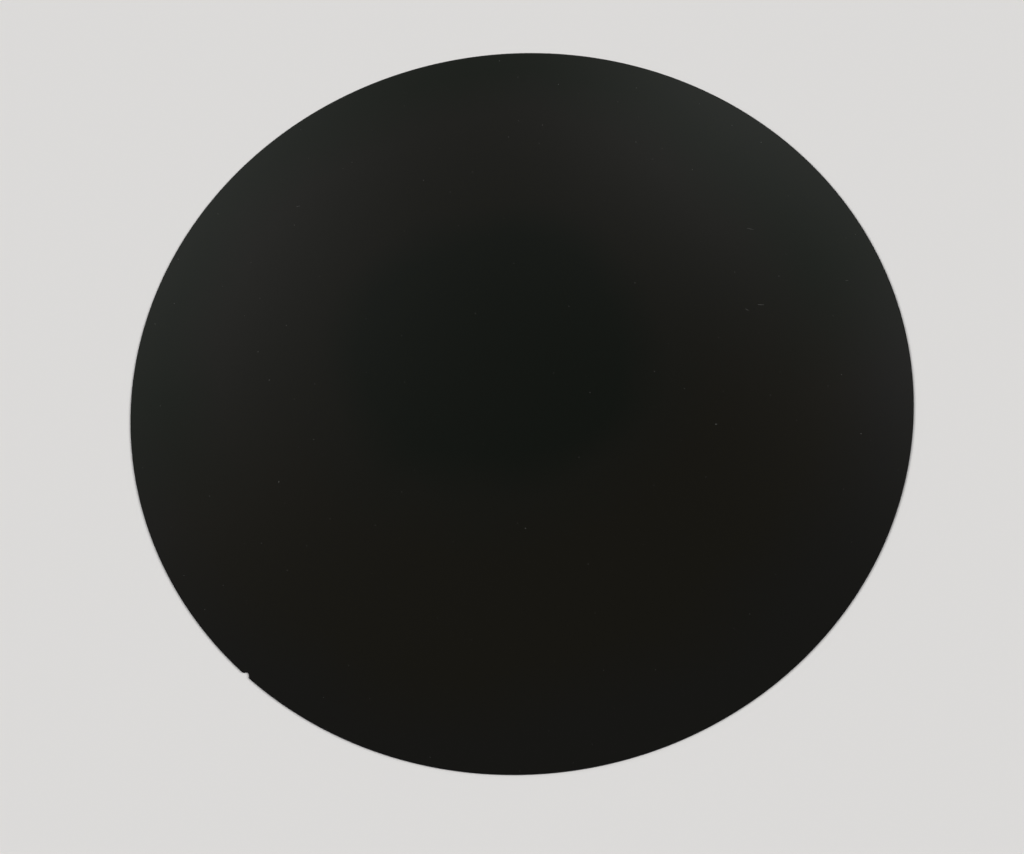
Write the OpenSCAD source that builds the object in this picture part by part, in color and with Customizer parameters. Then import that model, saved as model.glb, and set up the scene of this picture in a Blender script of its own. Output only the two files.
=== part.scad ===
// 300 mm GaN-on-silicon epitaxial wafer.
// A single slice of silicon, sawn, ground and polished, with a few micrometres of nitride layers grown
// on its front. The layers are part of the crystal and far thinner than the slice, so the wafer is one
// solid. It lies on its back face, with the front up and the orientation notch towards -Y.
//
// The whole edge is ground to one section: two shallow facets that blend round into the rim. That
// section is turned round the wafer, and then carried round the mouth corners of the notch, down its
// flanks and round its root without a break.

/* [Wafer] */
// Diameter over the rim
wafer_d = 300; // [200:10:450]
// Thickness of silicon and nitride layers together
wafer_t = 0.775; // [0.65:0.025:1.15]

/* [Ground edge] */
// Width of the ground edge, from the rim in to the flat face
edge_w = 0.37; // [0.3:0.01:0.45]
// Slope of the ground facet below the flat face
facet_angle = 22; // [18:1:24]
// Radius that blends each facet into the rim
shoulder_r = 0.2; // [0.12:0.01:0.24]

/* [Notch] */
// Depth of the notch, from the full circle in to its root
notch_depth = 1.1; // [0.9:0.05:1.35]
// Angle between the two flanks
notch_angle = 90; // [86:1:96]
// Radius of the root, smaller than the 3 mm pin that the notch locates on
root_r = 1.1; // [0.9:0.05:1.35]
// Radius of each mouth corner, where a flank turns into the rim
mouth_r = 0.9; // [0.75:0.05:1.1]

/* [Hidden] */
$fn = 360;

rim_r = wafer_d / 2;

// The ground edge. The upright land left at the rim runs land_half either side of mid-thickness.
shoulder_steps = 6;
facet_run = edge_w - shoulder_r * (1 - sin(facet_angle));
land_half = wafer_t / 2 - facet_run * tan(facet_angle) - shoulder_r * cos(facet_angle);

// The notch, laid out beside +X. Its root is an arc about root_x on that axis. A flank runs from the
// root to a mouth corner, whose arc touches the flank and, from inside, the wafer's circle.
half_angle = notch_angle / 2;
root_x = rim_r - notch_depth + root_r;
arc_gap = root_r + mouth_r;
corner_dist = rim_r - mouth_r;
flank_len = sqrt(corner_dist ^ 2 - (root_x * sin(half_angle) - arc_gap) ^ 2) - root_x * cos(half_angle);
mouth_angle = asin((arc_gap * cos(half_angle) + flank_len * sin(half_angle)) / corner_dist);

// The notch fills a short block, cut from the round slice between the planes through its mouth corners.
block_depth = 3 * (notch_depth + edge_w);
reach = 2 * block_depth;
over = 1;

// Upper half of the edge's section: the land and shoulder at the rim, x = 0, then the facet and the
// flat face, which ends `depth` into the wafer.
function upper_half(depth) = concat(
    [for (i = [0:shoulder_steps]) let (a = i * (90 - facet_angle) / shoulder_steps)
        [shoulder_r * (cos(a) - 1), land_half + shoulder_r * sin(a)]],
    [[-edge_w, wafer_t / 2], [-depth, wafer_t / 2]]
);

// The edge's full section, level with mid-thickness.
module edge_section(depth) {
    upper = upper_half(depth);
    polygon(concat(upper, [for (i = [len(upper) - 1:-1:0]) [upper[i].x, -upper[i].y]]));
}

// An edge that bulges: the section turned about the centre of the wafer or of a mouth corner.
module round_edge(r, angle) {
    rotate_extrude(angle = angle) translate([r, 0]) edge_section(r);
}

// An edge that is hollow: the section turned about the centre of the root, a quarter turn from -X.
module hollow_edge(r) {
    rotate_extrude(angle = 90, start = 180) translate([r, 0]) mirror([1, 0]) edge_section(reach);
}

// A straight edge along +Y, facing +X.
module straight_edge(length) {
    translate([0, length, 0]) rotate([90, 0, 0]) linear_extrude(length) edge_section(reach);
}

// Half of the notch's block, from the centre plane to the plane through one mouth corner.
module half_block() {
    intersection() {
        translate([rim_r - block_depth, 0, -wafer_t])
            cube([block_depth + over, block_depth, 2 * wafer_t]);
        rotate(mouth_angle) translate([0, -block_depth, -wafer_t])
            cube([rim_r + over, block_depth, 2 * wafer_t]);
    }
}

// One side of the notch: root, flank and mouth corner, ground in one sweep.
module notch_side() {
    intersection() {
        half_block();
        translate([root_x, 0, 0]) rotate(half_angle - 90) {
            hollow_edge(root_r);
            translate([-root_r, 0, 0]) straight_edge(flank_len);
            translate([-arc_gap, flank_len, 0]) round_edge(mouth_r, 90);
        }
    }
}

module wafer() {
    color("#1e1f1d") translate([0, 0, wafer_t / 2]) rotate(-90) {
        difference() {
            round_edge(rim_r, 360);
            for (side = [0, 1]) mirror([0, side, 0]) half_block();
        }
        for (side = [0, 1]) mirror([0, side, 0]) notch_side();
    }
}

wafer();
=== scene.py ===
from math import asin, cos, pi, radians, sin, sqrt, tan

import bmesh
import bpy
from mathutils import Matrix, Vector


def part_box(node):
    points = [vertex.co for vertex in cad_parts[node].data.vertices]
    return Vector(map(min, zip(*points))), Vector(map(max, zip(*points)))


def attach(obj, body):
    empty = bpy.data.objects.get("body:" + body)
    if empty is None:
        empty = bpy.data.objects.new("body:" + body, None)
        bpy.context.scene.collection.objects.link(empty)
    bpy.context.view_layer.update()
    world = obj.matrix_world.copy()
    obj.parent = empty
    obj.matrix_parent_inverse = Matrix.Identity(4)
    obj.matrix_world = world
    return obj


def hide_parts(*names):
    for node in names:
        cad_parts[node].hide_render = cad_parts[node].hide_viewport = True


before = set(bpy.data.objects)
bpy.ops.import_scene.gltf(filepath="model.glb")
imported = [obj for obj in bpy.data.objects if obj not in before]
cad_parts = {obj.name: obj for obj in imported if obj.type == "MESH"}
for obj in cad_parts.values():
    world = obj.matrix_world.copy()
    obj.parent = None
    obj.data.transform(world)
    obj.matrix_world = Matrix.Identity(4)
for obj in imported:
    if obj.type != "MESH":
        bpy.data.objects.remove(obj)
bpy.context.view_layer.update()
scene = bpy.context.scene
scene.view_settings.view_transform = "Standard"

# ---- Camera ----
# The wafer lies flat and is looked down on from about an arm's length, on the +X side of its notch, with
# the camera leaning a little to the right.
mm = 0.001
eye = Vector((140.85, -132.23, 428.1)) * mm
aim = Vector((13.59, -18.30, 0.4)) * mm
lean = radians(9.1)
camera_data = bpy.data.cameras.new("camera")
camera_data.lens = 42.79
camera_data.clip_start = 10 * mm
camera_data.clip_end = 100
camera = bpy.data.objects.new("camera", camera_data)
upright = (aim - eye).to_track_quat("-Z", "Y").to_matrix().to_4x4()
camera.matrix_world = Matrix.Translation(eye) @ upright @ Matrix.Rotation(-lean, 4, "Z")
scene.collection.objects.link(camera)
scene.camera = camera

# ---- Wafer: the ground slice ----
# One slice of single-crystal silicon, 300 mm across and 0.775 mm thick, with the nitride layers grown
# on its front. A grooved wheel grinds one section all the way round the edge, and in the same sweep
# round the mouth corners of the notch, down its flanks and round its root.
low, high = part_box("wafer")
rim_r = (high.x - low.x) / 2
thickness = high.z - low.z
mid_z = low.z + thickness / 2
edge_width = 0.37 * mm
facet_slope = radians(22)
shoulder_r = 0.2 * mm
notch_depth = 1.1 * mm
root_r = 1.1 * mm
mouth_r = 0.9 * mm
flank_slope = radians(45)
half_rim_steps = 480
mouth_steps = 10
half_root_steps = 12
shoulder_steps = 6
weld = 0.005 * mm

# The notch points towards -Y. Its root turns about root_y on that axis, and each mouth corner turns
# about a centre that lies inside the rim by the corner's own radius.
root_y = -(rim_r - notch_depth + root_r)
arc_gap = root_r + mouth_r
mouth_dist = rim_r - mouth_r
flank_len = sqrt(mouth_dist**2 - (root_y * sin(flank_slope) + arc_gap) ** 2) + root_y * cos(flank_slope)
mouth_angle = asin((arc_gap * cos(flank_slope) + flank_len * sin(flank_slope)) / mouth_dist)
mouth_x = mouth_dist * sin(mouth_angle)
mouth_y = -mouth_dist * cos(mouth_angle)
facet_run = edge_width - shoulder_r * (1 - sin(facet_slope))
land_half = thickness / 2 - facet_run * tan(facet_slope) - shoulder_r * cos(facet_slope)


def edge_section():
    """Points of the ground section, as inward distance from the rim and height above mid-thickness."""
    front = [(edge_width, thickness / 2)]
    for i in range(shoulder_steps, -1, -1):
        lift = i / shoulder_steps * (pi / 2 - facet_slope)
        front.append((shoulder_r * (1 - cos(lift)), land_half + shoulder_r * sin(lift)))
    return front + [(inward, -height) for inward, height in reversed(front)]


def grind(section, x, y, turn, steps, run=(0, 0, 0)):
    """Carries the section round an upright axis at x, y, or along a straight run, and gives its end."""
    return bmesh.ops.spin(
        blank, geom=section, cent=(x, y, 0), axis=(0, 0, 1), dvec=run, angle=turn, steps=steps
    )["geom_last"]


blank = bmesh.new()
start = [
    blank.verts.new((0, inward + notch_depth - rim_r, mid_z + height))
    for inward, height in edge_section()
]
section = start + [blank.edges.new(pair) for pair in zip(start, start[1:])]
flank_run = Vector((sin(flank_slope), -cos(flank_slope), 0)) * flank_len
section = grind(section, 0, root_y, flank_slope - pi / 2, half_root_steps)
section = grind(section, 0, 0, 0, 1, flank_run)
section = grind(section, mouth_x, mouth_y, pi / 2 - flank_slope + mouth_angle, mouth_steps)
grind(section, 0, 0, pi - mouth_angle, half_rim_steps)
bmesh.ops.mirror(blank, geom=blank.verts[:] + blank.edges[:] + blank.faces[:], axis="X", merge_dist=weld)
for facet in blank.faces:
    facet.smooth = True
    facet.material_index = 1
ground_lip = [edge for edge in blank.edges if edge.is_boundary]
for edge in ground_lip:
    edge.smooth = False
flats = bmesh.ops.edgeloop_fill(blank, edges=ground_lip)["faces"]
bmesh.ops.recalc_face_normals(blank, faces=blank.faces)
for flat in flats:
    flat.smooth = False
    flat.material_index = 0 if flat.normal.z > 0 else 2
wafer_mesh = bpy.data.meshes.new("epi_wafer")
blank.to_mesh(wafer_mesh)
blank.free()
wafer = bpy.data.objects.new("epi_wafer", wafer_mesh)
scene.collection.objects.link(wafer)
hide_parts("wafer")
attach(wafer, "root")


# ---- Wafer: the grown front ----
# Gallium nitride over aluminium nitride on the silicon, a few micrometres thick and left as it grew:
# mirror smooth and all but black. Its faint tint follows the thickness of the layers, greenish in the
# middle and brownish further out. Fine dust and a few fibres of lint have settled on it.
class Wire:
    """A value on its way through a finish. Arithmetic on wires adds Math nodes."""

    def __init__(self, tree, socket=None):
        self.tree = tree
        self.socket = socket

    def node(self, kind, settings=None, inputs=None, output=0):
        """Adds a node, makes its settings and then feeds each input from a wire or a plain value."""
        made = self.tree.nodes.new("ShaderNode" + kind)
        for name, value in (settings or {}).items():
            if name == "stops":
                for position, colour in value[2:]:
                    made.color_ramp.elements.new(position)
                for stop, (position, colour) in zip(made.color_ramp.elements, sorted(value)):
                    stop.position = position
                    stop.color = (*colour, 1)
            else:
                setattr(made, name, value)
        for key, value in (inputs or {}).items():
            if isinstance(value, Wire):
                self.tree.links.new(value.socket, made.inputs[key])
            else:
                made.inputs[key].default_value = value
        return Wire(self.tree, made.outputs[output])

    def math(self, operation, *values):
        return self.node("Math", {"operation": operation}, dict(enumerate(values)))

    def __add__(self, other):
        return self.math("ADD", self, other)

    def __sub__(self, other):
        return self.math("SUBTRACT", self, other)

    def __rsub__(self, other):
        return self.math("SUBTRACT", other, self)

    def __mul__(self, other):
        return self.math("MULTIPLY", self, other)

    def __truediv__(self, other):
        return self.math("DIVIDE", self, other)

    def __lt__(self, other):
        return self.math("LESS_THAN", self, other)

    def __pow__(self, other):
        return self.math("POWER", self, other)

    __radd__ = __add__
    __rmul__ = __mul__


def new_finish(name, constants):
    """Adds a finish to the wafer and gives its shader, with the place on the wafer as a wire."""
    material = bpy.data.materials.new(name)
    material.use_nodes = True
    shader = material.node_tree.nodes["Principled BSDF"]
    for socket, value in constants.items():
        shader.inputs[socket].default_value = value
    wafer_mesh.materials.append(material)
    return shader, Wire(material.node_tree).node("TexCoord", output="Object")


def feed(shader, socket, wire):
    wire.tree.links.new(wire.socket, shader.inputs[socket])


middle_green = (0.0023, 0.0037, 0.0018)
neutral = (0.0048, 0.0048, 0.0028)
rim_green = (0.0012, 0.0034, 0.0004)
brown = (0.0053, 0.0046, 0.0023)
plain_rim = (0.0050, 0.0048, 0.0037)
tint_centre = (-14.5 * mm, 3 * mm, 0)
brown_side = (cos(radians(39)), -sin(radians(39)), 0)
brown_start = -0.12 * rim_r
brown_full = 0.22 * rim_r
cloud_size = 70 * mm
cloud_reach = 0.2
polish = 0.025
polish_change = 0.03

# The dust is scattered in specks of all sizes up to dust_r, and is thinner on the brown side.
dust_colour = (0.068, 0.068, 0.063, 1)
dust_roughness = 0.3
dust_spacing = 14 * mm
dust_r = 0.15 * mm
dust_rarity = 2.0
dust_fade = 0.35
# Each fibre or fleck of lint: its x and y in mm, turn in degrees, then length and width in mm.
lint = [
    (57, 81, 35, 2.6, 0.17),
    (34, 106, 25, 2.8, 0.14),
    (54, 76, 10, 1.6, 0.15),
    (-118, 2, 50, 1.6, 0.14),
    (77, 110, 40, 1.2, 0.11),
    (73, 30, 40, 0.8, 0.33),
    (-41, -90, 120, 0.8, 0.26),
    (-85, -56, 110, 0.5, 0.26),
    (117, 60, 40, 0.6, 0.23),
    (43, -46, 90, 0.4, 0.33),
    (-27, 111, 145, 0.7, 0.19),
    (-73, -62, 60, 0.6, 0.22),
    (-63, 94, 85, 0.4, 0.28),
]

front_shader, place = new_finish("gallium_nitride", {"IOR": 2.35})
cloud = place.node("TexNoise", inputs={"Vector": place, "Scale": 1 / cloud_size, "Detail": 3.0})
spread = place.node("VectorMath", {"operation": "DISTANCE"}, {0: place, 1: tint_centre}, "Value")
spread = spread / rim_r + (cloud - 0.5) * cloud_reach
# Each stop is a distance from tint_centre, as a share of the rim's radius, and the tint there.
cool_stops = [(0.33, middle_green), (0.45, neutral), (0.7, neutral), (0.85, rim_green)]
warm_stops = [(0.33, middle_green), (0.45, neutral), (0.58, brown), (0.84, brown), (1.0, plain_rim)]
cool_tint = spread.node("ValToRGB", {"stops": cool_stops}, {0: spread})
warm_tint = spread.node("ValToRGB", {"stops": warm_stops}, {0: spread})
side = place.node("VectorMath", {"operation": "DOT_PRODUCT"}, {0: place, 1: brown_side}, "Value")
warmth = side.node("MapRange", inputs={0: side, 1: brown_start, 2: brown_full})
tint = place.node("Mix", {"data_type": "RGBA"}, {0: warmth, 6: cool_tint, 7: warm_tint}, 2)

speck_settings = {"voronoi_dimensions": "2D"}
speck_inputs = {"Vector": place, "Scale": 1 / dust_spacing}
speck_place = place.node("TexVoronoi", speck_settings, speck_inputs, "Distance")
speck_chance = place.node("TexVoronoi", speck_settings, speck_inputs, "Color")
speck_chance = speck_chance.node("SeparateColor", inputs={0: speck_chance})
speck_size = speck_chance**dust_rarity * (1 - side / rim_r * dust_fade)
dirt = speck_place < speck_size * (dust_r / dust_spacing)
for x, y, turn, length, width in lint:
    on_fibre = place.node(
        "Mapping",
        {"vector_type": "TEXTURE"},
        {
            "Vector": place,
            "Location": (x * mm, y * mm, thickness),
            "Rotation": (0, 0, radians(turn)),
            "Scale": (length / 2 * mm, width / 2 * mm, 1),
        },
    )
    fibre = on_fibre.node("VectorMath", {"operation": "LENGTH"}, {0: on_fibre}, "Value") < 1.0
    dirt = dirt.math("MAXIMUM", dirt, fibre)
soiled = place.node("Mix", {"data_type": "RGBA"}, {0: dirt, 6: tint, 7: dust_colour}, 2)
feed(front_shader, "Base Color", soiled)
feed(front_shader, "Roughness", cloud * polish_change + polish + dirt * dust_roughness)

# ---- Wafer: the ground edge ----
# Bare silicon round the rim and the notch, ground by a grooved wheel and lightly polished. It is satin
# black, with the finest of the wheel's tracks left running round it.
# Both streak tones are the real wheel tracks, painted brighter than the silicon's own tone as a painted
# sheen in place of the lamps' gloss, which the edge doesn't mirror.
edge_dark_and_sheen = (0.0015, 0.0015, 0.0016, 1)
edge_light_and_sheen = (0.0090, 0.0090, 0.0094, 1)
track_width = 0.05 * mm
track_length = 20 * mm
track_depth = 0.002 * mm
track_contrast = 3.0
ground_roughness = 0.35
track_roughness = 0.2

edge_shader, edge_place = new_finish("ground_silicon", {"IOR": 1.5, "Specular IOR Level": 0.12})
flat_place = edge_place.node("VectorMath", {"operation": "MULTIPLY"}, {0: edge_place, 1: (1, 1, 0)})
rim_place = flat_place.node("VectorMath", {"operation": "LENGTH"}, {0: flat_place}, "Value")
edge_x = edge_place.node("SeparateXYZ", inputs={0: edge_place}, output="X")
edge_y = edge_place.node("SeparateXYZ", inputs={0: edge_place}, output="Y")
edge_z = edge_place.node("SeparateXYZ", inputs={0: edge_place}, output="Z")
across = edge_place.node(
    "CombineXYZ",
    inputs={
        0: rim_place / track_width + edge_x / track_length,
        1: edge_y / track_length,
        2: edge_z / track_width,
    },
)
tracks = across.node("TexNoise", inputs={"Vector": across, "Scale": 1.0, "Detail": 2.0})
streaks = (tracks - 0.5) * track_contrast + 0.5
# The edge's colour: real wheel tracks with a painted sheen laid into their tones.
edge_tone_and_sheen = tracks.node("Mix", {"data_type": "RGBA"}, {0: streaks, 6: edge_dark_and_sheen, 7: edge_light_and_sheen}, 2)
feed(edge_shader, "Base Color", edge_tone_and_sheen)
scoring = tracks.node("Bump", inputs={"Height": tracks, "Distance": track_depth}, output="Normal")
feed(edge_shader, "Roughness", tracks * track_roughness + ground_roughness)
feed(edge_shader, "Normal", scoring)

# ---- Wafer: the back ----
# Bare silicon, polished to a grey mirror. The growth reactor leaves it with a faint haze, which is
# cloudy in the middle and thickens in a narrow ring just inside the ground edge.
clean_silicon = (0.34, 0.35, 0.37, 1)
hazy_silicon = (0.27, 0.28, 0.29, 1)
haze_size = 45 * mm
haze_share = 0.6
ring_share = 0.5
ring_start = 0.955
ring_end = 0.985
clean_roughness = 0.03
haze_roughness = 0.2

back_shader, back_place = new_finish("polished_silicon", {"Metallic": 1.0})
back_cloud = back_place.node(
    "TexNoise", inputs={"Vector": back_place, "Scale": 1 / haze_size, "Detail": 5.0, "Roughness": 0.6}
)
back_out = back_place.node("VectorMath", {"operation": "LENGTH"}, {0: back_place}, "Value") / rim_r
ring = back_out.node("MapRange", inputs={0: back_out, 1: ring_start, 2: ring_end})
haze = back_cloud * haze_share + ring * ring_share
back_tone = haze.node("Mix", {"data_type": "RGBA"}, {0: haze, 6: clean_silicon, 7: hazy_silicon}, 2)
feed(back_shader, "Base Color", back_tone)
feed(back_shader, "Roughness", haze * haze_roughness + clean_roughness)

# ---- Floor ----
# A plain pale floor under the wafer, out to where it meets a backdrop of its own colour.
floor_size = 60
floor_colour = (0.72, 0.71, 0.70, 1)
ground = bmesh.new()
bmesh.ops.create_circle(ground, cap_ends=True, segments=96, radius=floor_size / 2)
floor_mesh = bpy.data.meshes.new("floor")
ground.to_mesh(floor_mesh)
ground.free()
floor = bpy.data.objects.new("floor", floor_mesh)
scene.collection.objects.link(floor)
floor_paint = bpy.data.materials.new("floor")
floor_paint.use_nodes = True
floor_shader = floor_paint.node_tree.nodes["Principled BSDF"]
floor_shader.inputs["Base Color"].default_value = floor_colour
floor_shader.inputs["Roughness"].default_value = 1.0
floor_shader.inputs["Specular IOR Level"].default_value = 0.0
floor_mesh.materials.append(floor_paint)

# ---- Light ----
# Two broad soft lamps, one either side, which the polished faces don't mirror, and a dim room with three
# soft lights beyond the far edge of the wafer, which they do. These fade out towards the horizon.
lamp_height = radians(42)
lamp_spread = radians(35)
lamp_strength = 2.1
for name, heading in (("lamp_right", radians(45)), ("lamp_left", radians(225))):
    lamp_data = bpy.data.lights.new(name, "SUN")
    lamp_data.energy = lamp_strength
    lamp_data.angle = lamp_spread
    lamp = bpy.data.objects.new(name, lamp_data)
    lamp.visible_glossy = False
    towards = Vector((cos(heading) * cos(lamp_height), sin(heading) * cos(lamp_height), sin(lamp_height)))
    lamp.rotation_euler = towards.to_track_quat("Z", "Y").to_euler()
    scene.collection.objects.link(lamp)

room_light = 0.025
horizon_light = 0.3
horizon_focus = 6.0
lights_foot = sin(radians(30))
# Each soft light: its heading and rise, how narrow it is, and its strength.
soft_lights = [
    (radians(175), radians(23.6), 11.9, 0.89),
    (radians(117), radians(49.2), 84.0, 0.13),
    (radians(85.5), radians(46.4), 44.0, 0.40),
]
world = bpy.data.worlds.new("room")
world.use_nodes = True
scene.world = world
room = Wire(world.node_tree)
sky = room.node("TexCoord", output="Generated")
height = sky.node("SeparateXYZ", inputs={0: sky}, output="Z")
height = height.math("MAXIMUM", height, 0.0)
glow = room_light + horizon_light * (1 - height) ** horizon_focus
above_foot = height.math("MINIMUM", height / lights_foot, 1.0)
for heading, rise, focus, strength in soft_lights:
    towards = (cos(heading) * cos(rise), sin(heading) * cos(rise), sin(rise))
    facing = sky.node("VectorMath", {"operation": "DOT_PRODUCT"}, {0: sky, 1: towards}, "Value")
    glow = glow + facing.math("MAXIMUM", facing, 0.0) ** focus * strength * above_foot
background = world.node_tree.nodes["Background"]
seen = sky.node("LightPath", output="Is Camera Ray")
shade = sky.node("Mix", {"data_type": "RGBA"}, {0: seen, 6: glow, 7: floor_colour}, 2)
world.node_tree.links.new(shade.socket, background.inputs["Color"])
